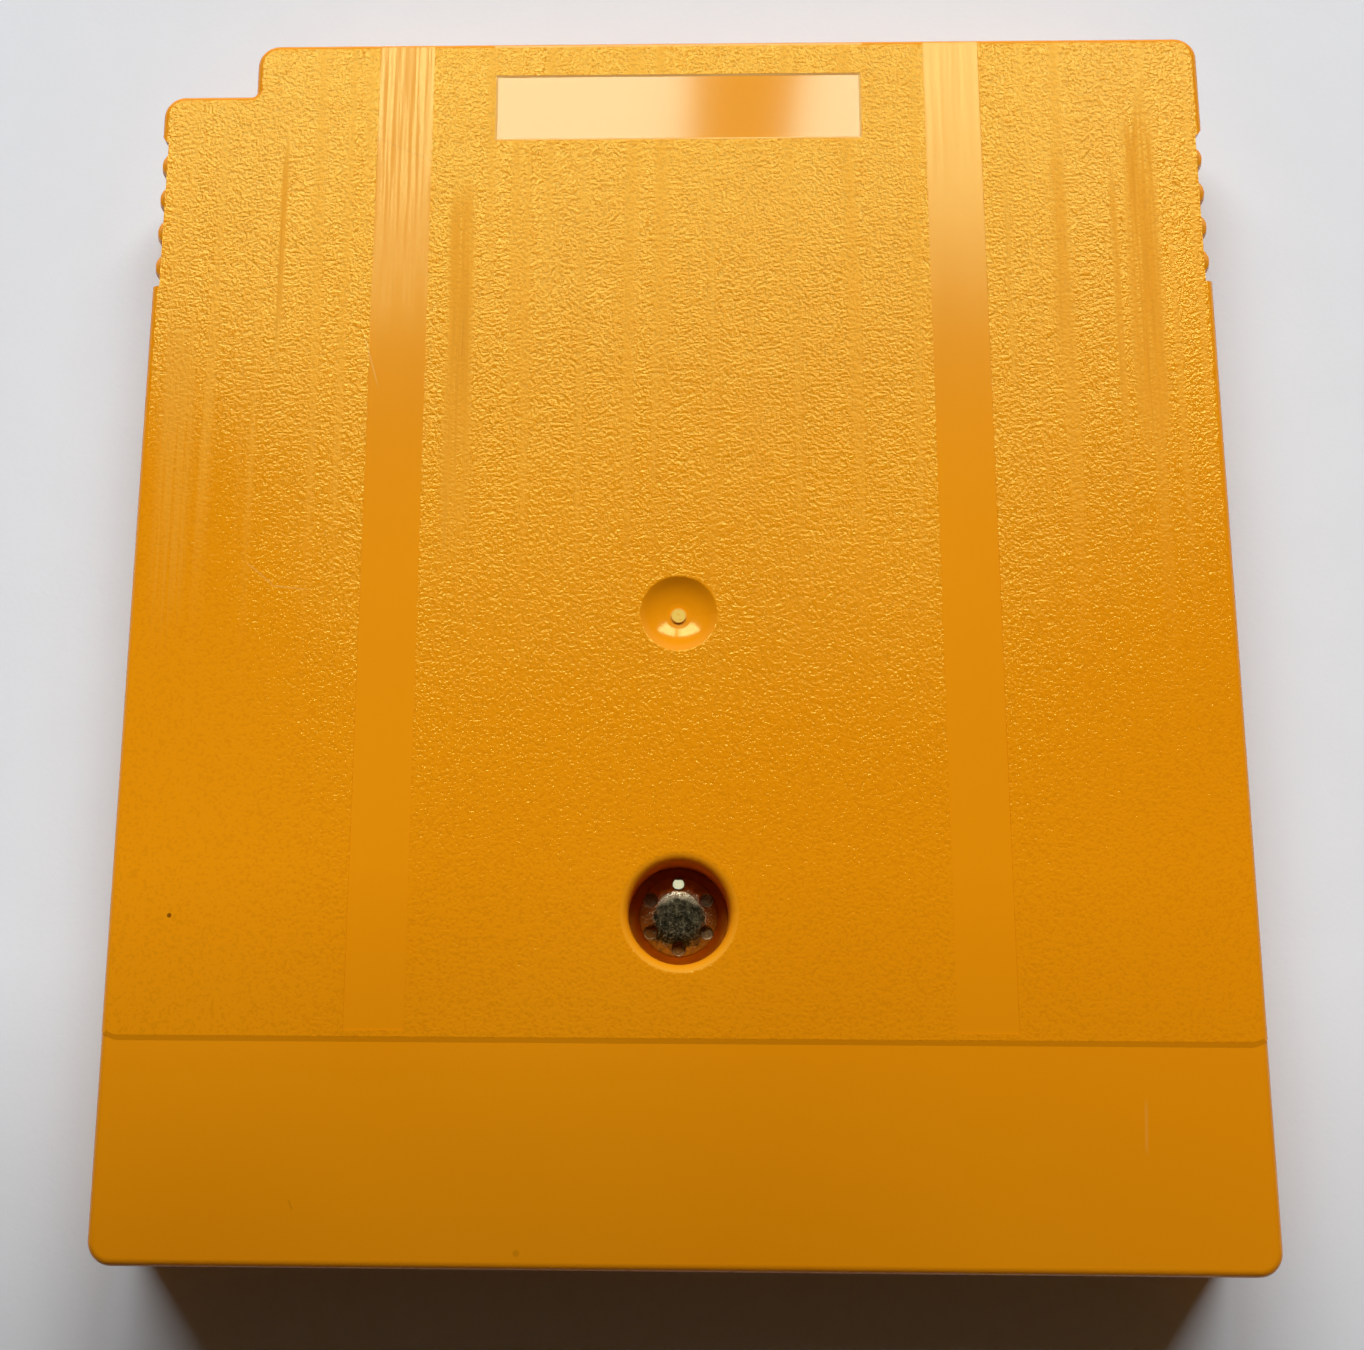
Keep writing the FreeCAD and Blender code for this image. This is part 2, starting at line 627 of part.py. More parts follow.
def security_screw():
    """Screw with a crowned head that has round flutes in its rim in place of a slot, and a plain shank."""
    tip_z = POST_HOLE_Z + POST_HOLE_SPARE
    head_r = HEAD_DIAMETER / 2
    screw = turned([
        (0, tip_z),
        (SHANK_R - SHANK_CHAMFER, tip_z),
        (SHANK_R, tip_z + SHANK_CHAMFER),
        (SHANK_R, SEAT_Z),
        (head_r, SEAT_Z),
        (head_r, HEAD_TOP_Z - CROWN_HEIGHT),
        (CROWN_DIAMETER / 2, HEAD_TOP_Z),
        (0, HEAD_TOP_Z),
    ])
    for i in range(FLUTE_COUNT):
        turn = math.pi / 2 + i * 2 * math.pi / FLUTE_COUNT
        flute_x = FLUTE_CIRCLE / 2 * math.cos(turn)
        flute_y = FLUTE_CIRCLE / 2 * math.sin(turn)
        screw = screw.cut(rod(flute_x, flute_y, SEAT_Z + HEAD_FLANGE, HEAD_TOP_Z + OVERCUT, FLUTE_R))
    screw.translate(Vector(0, SCREW_Y, 0))
    return screw


def circuit_board():
    """Board with a hole for the screw well and half-round edge notches for the pegs."""
    face = rounded_rectangle(-BOARD_HALF_W, BOARD_HALF_W, BOARD_MOUTH_Y, BOARD_TOP_Y, BOARD_CORNER_R)
    holes = [rod(0, SCREW_Y, 0, REAR_Z, WELL_OUTER_R + BOARD_HOLE_GAP)]
    holes += mirror_pair(rod(BOARD_HALF_W, PEG_Y, 0, REAR_Z, PEG_DIAMETER / 2 + PEG_GAP))
    return cut_all(prism(face, BOARD_PART_Z, BOARD_BACK_Z), holes)


def contact_fingers():
    """The row of plated contacts along the mouth edge of the board."""
    low_z = BOARD_PART_Z - FINGER_THICKNESS
    low_y = FINGER_END_Y - FINGER_LENGTH
    fingers = []
    for i in range(FINGER_COUNT):
        x = (i - (FINGER_COUNT - 1) / 2) * FINGER_PITCH - FINGER_WIDTH / 2
        fingers.append(block(x, x + FINGER_WIDTH, low_y, FINGER_END_Y, low_z, BOARD_PART_Z))
    return Part.makeCompound(fingers)


def chip_body(chip):
    """Moulded chip body that narrows above and below its waist, with a pin-one notch in one end."""
    x = chip["x"]
    y = MOUTH_Y + chip["from_mouth"]
    top = BOARD_PART_Z - CHIP_STANDOFF
    low = top - chip["height"]
    waist_low = (top + low - CHIP_WAIST) / 2
    levels = [(low, CHIP_DRAFT), (waist_low, 0), (waist_low + CHIP_WAIST, 0), (top, CHIP_DRAFT)]
    end_x = x - chip["length"] / 2
    half = MARK_WIDTH / 2
    mark = block(end_x - OVERCUT, end_x + MARK_LENGTH, y - half, y + half, low - OVERCUT, waist_low)
    return drafted(x, y, chip["length"], chip["width"], levels).cut(mark)


def chip_leads(chip):
    """Gull-wing leads along both long sides of a chip, from its waist to the board."""
    y = MOUTH_Y + chip["from_mouth"]
    waist = BOARD_PART_Z - CHIP_STANDOFF - chip["height"] / 2
    start = chip["width"] / 2
    toe = start + LEAD_REACH
    heel = toe - LEAD_FOOT
    half_t = LEAD_THICKNESS / 2
    section = [
        (start, waist - half_t),
        (heel + half_t, BOARD_PART_Z - LEAD_THICKNESS),
        (toe, BOARD_PART_Z - LEAD_THICKNESS),
        (toe, BOARD_PART_Z),
        (heel - half_t, BOARD_PART_Z),
        (start, waist + half_t),
    ]
    leads = []
    for i in range(chip["leads"]):
        x = chip["x"] + (i - (chip["leads"] - 1) / 2) * LEAD_PITCH - LEAD_WIDTH / 2
        profile = flat_face([Vector(x, along, z) for along, z in section])
        lead = profile.extrude(Vector(LEAD_WIDTH, 0, 0))
        leads += [lead, lead.mirror(Vector(0, 0, 0), Vector(0, 1, 0))]
    row = Part.makeCompound(leads)
    row.translate(Vector(0, y, 0))
    return row


def coin_cell():
    """Sealed coin cell lying on its lower tab, with its narrower cap towards the board."""
    can_r = CELL_DIAMETER / 2
    cap_r = CELL_CAP_DIAMETER / 2
    cell = turned([
        (0, CELL_LOW_Z),
        (can_r, CELL_LOW_Z),
        (can_r, CELL_TOP_Z - CELL_CAP_RISE),
        (cap_r, CELL_TOP_Z - CELL_CAP_RISE),
        (cap_r, CELL_TOP_Z),
        (0, CELL_TOP_Z),
    ])
    cell.translate(Vector(CELL_X, CELL_Y, 0))
    return cell


def cell_lower_tab():
    """Flat tab between the cell's cap and the board, running out towards the mouth."""
    half = TAB_WIDTH / 2
    end_y = CELL_Y - CELL_DIAMETER / 2 - TAB_OUT - TAB_FOOT
    return block(CELL_X - half, CELL_X + half, end_y, CELL_Y + TAB_OVERLAP, CELL_TOP_Z, BOARD_PART_Z)


def cell_upper_tab():
    """Bent tab from the face of the cell's can, over its edge to the board."""
    bend_y = CELL_Y + CELL_DIAMETER / 2 + TAB_OUT
    section = [
        (CELL_Y - TAB_OVERLAP, CELL_LOW_Z),
        (bend_y, CELL_LOW_Z),
        (bend_y, BOARD_PART_Z),
        (bend_y + TAB_FOOT, BOARD_PART_Z),
        (bend_y + TAB_FOOT, CELL_TOP_Z),
        (bend_y + TAB_THICKNESS, CELL_TOP_Z),
        (bend_y + TAB_THICKNESS, CELL_LOW_Z - TAB_THICKNESS),
        (CELL_Y - TAB_OVERLAP, CELL_LOW_Z - TAB_THICKNESS),
    ]
    profile = flat_face([Vector(CELL_X - TAB_WIDTH / 2, along, z) for along, z in section])
    return profile.extrude(Vector(TAB_WIDTH, 0, 0))


def two_ended_parts(part, places):
    """Bodies and metal ends of small parts that lie flat on the board."""
    half_l = part["length"] / 2
    half_w = part["width"] / 2
    inner = half_l - part["cap"]
    low_z = BOARD_PART_Z - part["height"]
    bodies = []
    caps = []
    for x, from_mouth in places:
        y = MOUTH_Y + from_mouth
        bodies.append(block(x - inner, x + inner, y - half_w, y + half_w, low_z, BOARD_PART_Z))
        for x0, x1 in ((x - half_l, x - inner), (x + inner, x + half_l)):
            caps.append(block(x0, x1, y - half_w, y + half_w, low_z, BOARD_PART_Z))
    return Part.makeCompound(bodies), Part.makeCompound(caps)


def build():
    """Every piece of the cartridge by name."""
    pieces = {
        "rear_shell": rear_shell(),
        "front_shell": front_shell(),
        "security_screw": security_screw(),
        "circuit_board": circuit_board(),
        "contact_fingers": contact_fingers(),
        "coin_cell": coin_cell(),
        "cell_lower_tab": cell_lower_tab(),
        "cell_upper_tab": cell_upper_tab(),
    }
    for name, chip in CHIPS.items():
        pieces[name] = chip_body(chip)
        pieces[name + "_leads"] = chip_leads(chip)
    pieces["capacitors"], pieces["capacitor_caps"] = two_ended_parts(CAPACITOR, CAPACITOR_PLACES)
    pieces["resistors"], pieces["resistor_caps"] = two_ended_parts(RESISTOR, RESISTOR_PLACES)
    return pieces


os.makedirs("parts", exist_ok=True)
for piece_name, piece in build().items():
    piece.exportStep(os.path.join("parts", piece_name + ".step"))
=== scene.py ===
import bpy
import numpy as np
from mathutils import Matrix, Vector


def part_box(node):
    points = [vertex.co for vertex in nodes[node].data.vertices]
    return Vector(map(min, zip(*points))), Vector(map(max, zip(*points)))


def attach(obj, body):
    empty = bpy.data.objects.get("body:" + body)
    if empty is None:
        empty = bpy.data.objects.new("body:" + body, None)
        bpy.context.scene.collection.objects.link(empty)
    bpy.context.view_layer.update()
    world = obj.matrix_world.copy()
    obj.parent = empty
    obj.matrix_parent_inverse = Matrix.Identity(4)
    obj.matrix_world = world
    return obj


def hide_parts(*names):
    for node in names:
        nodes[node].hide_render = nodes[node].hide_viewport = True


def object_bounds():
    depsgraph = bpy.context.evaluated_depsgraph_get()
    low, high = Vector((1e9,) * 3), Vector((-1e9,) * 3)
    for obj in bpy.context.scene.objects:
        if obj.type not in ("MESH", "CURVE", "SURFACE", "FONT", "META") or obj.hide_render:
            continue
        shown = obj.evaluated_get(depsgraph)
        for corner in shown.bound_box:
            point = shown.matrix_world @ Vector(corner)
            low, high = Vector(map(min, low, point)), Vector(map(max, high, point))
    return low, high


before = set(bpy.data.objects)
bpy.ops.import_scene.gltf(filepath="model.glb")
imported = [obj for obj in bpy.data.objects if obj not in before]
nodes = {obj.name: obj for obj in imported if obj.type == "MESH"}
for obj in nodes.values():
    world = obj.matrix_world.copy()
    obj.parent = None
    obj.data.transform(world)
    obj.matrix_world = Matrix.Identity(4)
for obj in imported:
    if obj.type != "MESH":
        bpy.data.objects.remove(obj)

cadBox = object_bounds()
mm = 0.001
perMetre = 1000  # Object coordinates are in metres, and the patterns are worked out in millimetres
rearTop = cadBox[1].z * perMetre
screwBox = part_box("security_screw")
screwY = (screwBox[0].y + screwBox[1].y) / 2 * perMetre
screwTop = screwBox[1].z * perMetre
gateY = -0.27  # middle of the gate dimple
noiseMiddle = 0.5
print("frame:", len(nodes), "nodes, rear face at", round(rearTop, 3), "mm")


class Wire:
    # One socket of a node tree. Arithmetic on it adds Math nodes, and node() adds any other.
    def __init__(self, tree, socket=None):
        self.tree = tree
        self.socket = socket

    def node(self, kind, settings=None, inputs=None, output=0):
        made = self.tree.nodes.new(kind)
        for name, value in (settings or {}).items():
            setattr(made, name, value)
        for name, value in (inputs or {}).items():
            if isinstance(value, Wire):
                self.tree.links.new(value.socket, made.inputs[name])
            else:
                made.inputs[name].default_value = value
        return Wire(self.tree, made.outputs[output] if made.outputs else None)

    def calc(self, operation, *values):
        return self.node("ShaderNodeMath", {"operation": operation}, dict(enumerate(values)))

    def __add__(self, other):
        return self.calc("ADD", self, other)

    def __radd__(self, other):
        return self.calc("ADD", other, self)

    def __sub__(self, other):
        return self.calc("SUBTRACT", self, other)

    def __rsub__(self, other):
        return self.calc("SUBTRACT", other, self)

    def __mul__(self, other):
        return self.calc("MULTIPLY", self, other)

    def __rmul__(self, other):
        return self.calc("MULTIPLY", other, self)

    def __abs__(self):
        return self.calc("ABSOLUTE", self)

    def atLeast(self, other):
        return self.calc("MAXIMUM", self, other)

    def atMost(self, other):
        return self.calc("MINIMUM", self, other)

    def rise(self, low, high):
        # 0 below low, 1 above high, and an S curve between
        inputs = {"Value": self, "From Min": low, "From Max": high}
        return self.node("ShaderNodeMapRange", {"interpolation_type": "SMOOTHSTEP"}, inputs)

    def fall(self, low, high, depth=1.0):
        # depth below low, 0 above high, and an S curve between
        inputs = {"Value": self, "From Min": low, "From Max": high, "To Min": depth, "To Max": 0.0}
        return self.node("ShaderNodeMapRange", {"interpolation_type": "SMOOTHSTEP"}, inputs)

    def between(self, low, high, soft):
        return self.rise(low - soft, low + soft) * self.fall(high - soft, high + soft)

    def noise(self, perMm, detail, rough):
        inputs = {"Vector": self, "Scale": perMm, "Detail": detail, "Roughness": rough}
        return self.node("ShaderNodeTexNoise", {"noise_dimensions": "3D"}, inputs)

    def stretched(self, x, y, z):
        return self.node("ShaderNodeVectorMath", {"operation": "MULTIPLY"}, {0: self, 1: (x, y, z)})

    def apart(self, x, y):
        # Distance of a place without height from a point
        inputs = {0: self, 1: (x, y, 0)}
        return self.node("ShaderNodeVectorMath", {"operation": "DISTANCE"}, inputs, output="Value")

    def parts(self):
        made = self.node("ShaderNodeSeparateXYZ", {}, {0: self}).socket.node
        return [Wire(self.tree, output) for output in made.outputs]

    def blend(self, first, second):
        # self is the share of the second colour. The node has sockets of the same names for each kind of
        # data, so its colour sockets are taken by their places.
        share, firstColour, secondColour, mixedColour = 0, 6, 7, 2
        settings = {"data_type": "RGBA", "clamp_factor": True}
        inputs = {share: self, firstColour: first, secondColour: second}
        return self.node("ShaderNodeMix", settings, inputs, output=mixedColour)

    def bump(self, height, strength=1.0):
        # self runs from 0 to 1 over a relief of this height in millimetres
        inputs = {"Height": self, "Strength": strength, "Distance": height * mm}
        return self.node("ShaderNodeBump", {}, inputs)


def newMaterial(name):
    # The material and a start for its nodes
    material = bpy.data.materials.new(name)
    material.use_nodes = True
    material.node_tree.nodes.clear()
    return material, Wire(material.node_tree)


def ownPlace(start):
    # The place on the piece, in millimetres
    return start.node("ShaderNodeTexCoord", output="Object").stretched(perMetre, perMetre, perMetre)


def surface(start, **sockets):
    inputs = {name.replace("_", " "): value for name, value in sockets.items()}
    return start.node("ShaderNodeBsdfPrincipled", {}, inputs)


def setSurface(start, finish):
    start.node("ShaderNodeOutputMaterial", {}, {"Surface": finish})


def dress(material, *names):
    for name in names:
        mesh = nodes[name].data
        mesh.materials.clear()
        mesh.materials.append(material)


def rgb(red, green, blue):
    return (red, green, blue, 1.0)


# Shares of a mark's radius or half width where its edge starts and ends
markEdges = {"spot": (0.7, 1.2), "line": (0.6, 1.3), "streak": (0.5, 1.4)}
streakStart = 8  # millimetres over which a streak comes in


def strongest(masks):
    most = masks[0]
    for mask in masks[1:]:
        most = most.atLeast(mask)
    return most


def spotMask(flat, spots):
    # Round spots, each of a middle, a radius and a depth of 0 to 1, soft at their edges
    inner, outer = markEdges["spot"]
    masks = []
    for middleX, middleY, radius, depth in spots:
        masks.append(flat.apart(middleX, middleY).fall(radius * inner, radius * outer, depth))
    return strongest(masks)


def lineMask(flat, lines):
    # Straight scratches, each of two ends, a half width and a depth of 0 to 1. Each one's place is turned
    # and scaled until the scratch fills a square of half side 1, and the mask falls with the larger part.
    masks = []
    for startX, startY, endX, endY, halfWidth, depth in lines:
        runX, runY = endX - startX, endY - startY
        inputs = {
            "Vector": flat,
            "Location": ((startX + endX) / 2, (startY + endY) / 2, 0),
            "Rotation": (0, 0, float(np.arctan2(runY, runX))),
            "Scale": (float(np.hypot(runX, runY)) / 2, halfWidth, 1),
        }
        own = flat.node("ShaderNodeMapping", {"vector_type": "TEXTURE"}, inputs)
        own = own.node("ShaderNodeVectorMath", {"operation": "ABSOLUTE"}, {0: own})
        along, across = own.parts()[:2]
        masks.append(along.atLeast(across).fall(*markEdges["line"], depth))
    return strongest(masks)


def streakMask(x, y, streaks):
    # Worn bands along the case, each of a middle x, a half width, two ends, the softness of the end towards
    # the grips and a strength
    inner, outer = markEdges["streak"]
    masks = []
    for middle, halfWidth, low, high, soft, strength in streaks:
        across = abs(x - middle).fall(halfWidth * inner, halfWidth * outer, strength)
        masks.append(across * y.rise(low, low + streakStart) * y.fall(high - soft, high))
    return strongest(masks)


# Noise settings are the scale per millimetre, the detail and the roughness
caseLook = {
    "colour": rgb(0.83, 0.303, 0.003),
    "deepColour": rgb(0.80, 0.283, 0.002),
    "mottle": (0.05, 1.0, 0.6),
    "mottleLevels": (0.3, 0.7),
    "edgeSoft": 0.1,
    "rearDepth": (1.0, 1.2),  # depths between which the rear half's own marks end
    # Grain of the two faces
    "grain": (6.1, 2.0, 0.5),
    "grainRelief": 0.050,
    "grainDepth": (0.006, 0.02),
    "grainRough": 0.13,
    "grainHighlight": rgb(0.88, 1.0, 0.22),
    "grainRefraction": 1.52,
    # Painted shade in the grain's low places, deeper towards the grip end
    "pitLevels": (0.36, 0.5),
    "pitShadeDepth": 0.2,
    "pitShadeDeeper": 0.15,
    "pitShadeDeeperFrom": (4, 22),  # towards the grip end
    # Grain that handling has flattened, at the mouth end and at the two sides
    "handledLow": (-20, 4, 0.35),
    "handledLeft": (-28, -15, 0.75),
    "handledLeftEnd": (6, 20),
    "handledRight": (14, 28),
    "handledRightEnd": (-2, 18, 0.3),
    # Rubbed bands and the finer lines in them
    "drawnOut": (1, 0.015, 0),
    "lines": (6.0, 2.0, 0.65),
    "lineReach": 14.0,
    "lineLevels": (0.34, 0.52),
    "bandShare": 0.4,
    "lineShare": 0.6,
    "scatter": (0.9, 1.0, 0.7),
    "scatterLevels": (0.5, 0.66),
    "scatterFrom": (-8, 12),
    "scatterShare": 0.5,
    "wornFlat": 0.85,
    "wornRough": 0.55,
    # The colour of the dirt in the worn bands, also used for the painted shade in the grain's pits
    "streakAndPitShadeColour": rgb(0.50, 0.15, 0.001),
    "bandGrime": 0.1,
    "lineGrime": 0.25,
    "grimeLevels": (0.5, 0.66),
    # Smooth places
    "smoothRough": 0.17,
    "smoothHighlight": rgb(0.75, 1.0, 0.72),
    "smoothRefraction": 1.5,
    "stripMiddle": 15.0,
    "stripHalf": 1.5,
    "stripShare": 0.6,  # of the grained finish, whose highlight is warmer
    "stripDull": 0.06,
    "rubLevels": (0.42, 0.6),
    "rubFrom": (14, 22),
    "rubSides": (-2, 2),
    "rubRight": 0.25,  # share of the rubbing that the right strip has
    "rubRough": 0.30,
    "plateEdges": (10.2, 26.2),
    "plateRough": 0.09,
    # The plate recess's wall faces away from the window; a paler colour is painted on it as painted light,
    # which takes out its shade
    "wallDepth": (0.005, 0.047),
    "wallSoft": 0.004,
    "wallPaintedLightShare": 0.8,
    "wallPaintedLight": rgb(0.95, 0.60, 0.20),
    "outline": (27.5, 31.5),
    "sideEnds": (0.2, 0.25),  # height and depth where the dull sides end
    "sideRough": 0.40,
    "wellRim": 3.1,
    "gate": (0.0, gateY, 0.4, 1.0),
    "gateLevels": (0.2, 0.5),
    "gateColour": rgb(0.84, 0.58, 0.10),
    "gateDull": 0.3,
    "dimple": (0.0, gateY, 2.0, 0.6),
    # Marks
    "markColour": rgb(0.12, 0.03, 0.002),
    "scratchColour": rgb(0.92, 0.62, 0.22),
    "streaks": [
        (-11.7, 0.75, 0.0, 26.0, 4.0, 0.9),
        (24.9, 0.90, 5.0, 30.0, 3.0, 0.95),
        (23.4, 0.20, 4.0, 26.5, 3.0, 0.8),
        (20.5, 0.45, 9.0, 27.5, 3.0, 0.75),
        (17.7, 0.16, 8.0, 29.5, 3.0, 0.7),
        (-21.5, 0.18, 12.0, 28.0, 3.0, 1.0),
        (-26.6, 0.95, -4.0, 17.5, 2.0, 0.5),
        (-6.5, 0.10, 16.0, 25.0, 2.0, 0.7),
        (-4.0, 0.10, 16.0, 25.0, 2.0, 0.6),
    ],
    "darkLines": [
        (-22.2, 29.3, -12.1, 24.7, 0.035, 0.3),
        (-11.50, 16.2, -11.55, 13.6, 0.05, 0.5),
        (-9.0, 31.3, -8.1, 30.7, 0.03, 0.5),
        (-8.5, 31.4, -7.8, 30.8, 0.03, 0.4),
        (-18.8, -29.35, -18.6, -29.8, 0.04, 0.4),
    ],
    "paleLines": [
        (22.4, -24.5, 22.3, -26.8, 0.08, 0.08),
        (-16.8, 15.1, -16.0, 12.3, 0.04, 0.25),
        (-22.4, 2.4, -21.0, 1.2, 0.04, 0.2),
        (-21.0, 1.2, -19.3, 1.0, 0.04, 0.2),
    ],
    "darkSpots": [(-25.4, -15.8, 0.12, 0.8), (-7.8, -31.7, 0.16, 0.2)],
}


def casePlastic(look):
    # Grained where either face is at its full height, smooth in the recesses and on the contact band
    material, start = newMaterial("casePlastic")
    place = ownPlace(start)
    x, y, z = place.parts()
    flat = place.stretched(1, 1, 0)
    soft = look["edgeSoft"]
    shallow, deep = look["rearDepth"]
    rear = z.rise(rearTop - deep, rearTop - shallow)
    shallow, deep = look["grainDepth"]
    grained = z.rise(rearTop - deep, rearTop - shallow).atLeast(z.fall(shallow, deep))

    # Rubbing along the case has flattened the grain in bands, each made of finer lines
    along = place.stretched(*look["drawnOut"])
    lines = along.noise(*look["lines"])
    bands = streakMask(x, y + (lines - noiseMiddle) * look["lineReach"], look["streaks"])
    scatter = along.noise(*look["scatter"]).rise(*look["scatterLevels"])
    scatter = scatter * y.rise(*look["scatterFrom"]) * look["scatterShare"]
    lined = look["bandShare"] + lines.rise(*look["lineLevels"]) * look["lineShare"]
    worn = (bands * lined).atLeast(scatter) * rear

    # Handling has flattened it more evenly
    handledLeft = x.fall(*look["handledLeft"]) * y.fall(*look["handledLeftEnd"])
    handledRight = x.rise(*look["handledRight"]) * y.fall(*look["handledRightEnd"])
    handled = y.fall(*look["handledLow"]) + handledLeft + handledRight
    grain = place.noise(*look["grain"])
    relief = grained * (1 - look["wornFlat"] * worn) * (1 - handled * rear)

    # Smooth places: strips with rub lines, the sides, the well and the plate
    inStrip = abs(abs(x) - look["stripMiddle"]).fall(look["stripHalf"], look["stripHalf"] + soft)
    rubSide = look["rubRight"] + x.fall(*look["rubSides"], 1 - look["rubRight"])
    rub = lines.rise(*look["rubLevels"]) * inStrip * rear * y.rise(*look["rubFrom"])
    rub = rub * rubSide * look["rubRough"]
    outX, outY = look["outline"]
    outline = abs(x).rise(outX - soft, outX + soft).atLeast(abs(y).rise(outY - soft, outY + soft))
    inWell = flat.apart(0, screwY).fall(look["wellRim"] - 2 * soft, look["wellRim"]) * (1 - grained)
    sideLow, sideHigh = look["sideEnds"]
    dull = (z.between(sideLow, rearTop - sideHigh, soft) * outline).atLeast(inWell)
    plateX, plateY = look["plateEdges"]
    inPlate = abs(x).fall(plateX - soft, plateX) * y.rise(plateY, plateY + soft) * rear
    smooth = look["smoothRough"] + rub + dull * (look["sideRough"] - look["smoothRough"])
    smooth = smooth + inPlate * (look["plateRough"] - look["smoothRough"])
    flattened = (worn * grained).atLeast(inWell)
    rough = look["grainRough"] + flattened * (look["wornRough"] - look["grainRough"])
    rough = rough + rub + inStrip * (1 - grained) * look["stripDull"]

    # Colour, from the plain plastic to the marks on top of it, with painted shade in the grain's pits and
    # painted light on the plate's wall
    mottle = place.noise(*look["mottle"]).rise(*look["mottleLevels"])
    colour = mottle.blend(look["colour"], look["deepColour"])
    # Painted shade: the grain's low places are darkened, more towards the grip end
    pitShadeDepth = look["pitShadeDepth"] + y.rise(*look["pitShadeDeeperFrom"]) * look["pitShadeDeeper"]
    pitShade = grain.fall(*look["pitLevels"]) * grained * pitShadeDepth
    grimy = bands * (look["bandGrime"] + look["lineGrime"] * lines.rise(*look["grimeLevels"]))
    grimy = grimy.atLeast(lineMask(flat, look["darkLines"])) * rear
    colour = grimy.atLeast(pitShade).blend(colour, look["streakAndPitShadeColour"])
    # Painted light: the plate recess's wall is coloured paler, to take out the shade it lies in
    wallTop, wallFoot = look["wallDepth"]
    paintedWallLight = z.between(rearTop - wallFoot, rearTop - wallTop, look["wallSoft"]) * inPlate
    colour = (paintedWallLight * look["wallPaintedLightShare"]).blend(colour, look["wallPaintedLight"])
    pale = lineMask(flat, look["paleLines"]) * rear
    colour = pale.blend(colour, look["scratchColour"])
    dark = spotMask(flat, look["darkSpots"]) * rear
    colour = dark.blend(colour, look["markColour"])
    gate = spotMask(flat, [look["gate"]]) * rear * grain.rise(*look["gateLevels"])
    colour = gate.blend(colour, look["gateColour"])

    smoothFinish = surface(
        start,
        Base_Color=colour,
        Roughness=smooth + gate * look["gateDull"],
        IOR=look["smoothRefraction"],
        Specular_Tint=look["smoothHighlight"],
    )
    grainFinish = surface(
        start,
        Base_Color=colour,
        Roughness=rough,
        IOR=look["grainRefraction"],
        Specular_Tint=look["grainHighlight"],
        Normal=grain.bump(look["grainRelief"], relief),
    )
    inDimple = spotMask(flat, [look["dimple"]])
    share = strongest([grained, inStrip * look["stripShare"], inWell, inDimple])
    setSurface(start, start.node("ShaderNodeMixShader", {}, {0: share, 1: smoothFinish, 2: grainFinish}))
    return material


screwLook = {
    "crownRadius": 1.35,
    "crownDrop": 0.45,
    "crownSoft": 0.45,
    "edgeRound": 0.07,
    "headHeight": 1.5,
    "flutes": 6,
    "fluteRadius": 0.36,
    "fluteCircle": 1.65,
    "fluteDepth": 0.52,
    "fluteSoft": 0.04,
    "shankRadius": 1.15,
    "tipTaper": 0.3,
    "threadPitch": 0.7,
    "threadDepth": 0.16,
    "threadFrom": 0.4,  # below the head, where the thread reaches its depth
    "roundSteps": 432,
    "innerRings": (0.02, 1.1, 24),  # first radius, last radius and count
    "outerRings": 60,
    "shankRings": 90,
    # Finish, with lengths measured from the screw's axis or its top
    "steel": rgb(0.37, 0.26, 0.13),
    "cloud": (2.6, 4.0, 0.7),
    "crownEdge": (1.1, 1.5),
    "crownRagged": 1.3,
    "crownLeanFromLight": 0.25,
    "crownRough": 0.34,
    "slopeRough": 0.22,
    "speck": (9.0, 3.0, 0.75),
    "speckLevels": (0.5, 0.7),
    "speckRelief": 0.012,
    "patina": rgb(0.030, 0.028, 0.014),
    "patinaPale": rgb(0.20, 0.18, 0.105),
    "patinaSpecks": 0.5,
    "patinaCloud": 2.0,
    "patinaBase": 0.2,
    # A painted highlight: pale steel on a ring at the crown's edge towards the window
    "paintedHighlightSteel": rgb(0.66, 0.58, 0.37),
    "paintedHighlightRing": (0.95, 1.5, 0.2),
    "paintedHighlightSide": (0.3, 1.0),
    "grime": rgb(0.15, 0.055, 0.008),
    "fluteGrime": [0.7, 0.95, 0.9, 0.35, 0.4],  # anticlockwise from the clean flute at the grip end
    "grimeLevels": (0.05, 0.15),
    "grimeDull": 0.3,
    "brightSteel": rgb(0.62, 0.61, 0.39),
    "brightRough": 0.08,
    "cleanSpot": (1.80, 0.42),
    "cleanSoft": 0.03,
    "cleanDepth": (0.48, 0.5),
    "flatSide": 1.88,
    "flatSoft": 0.02,
}


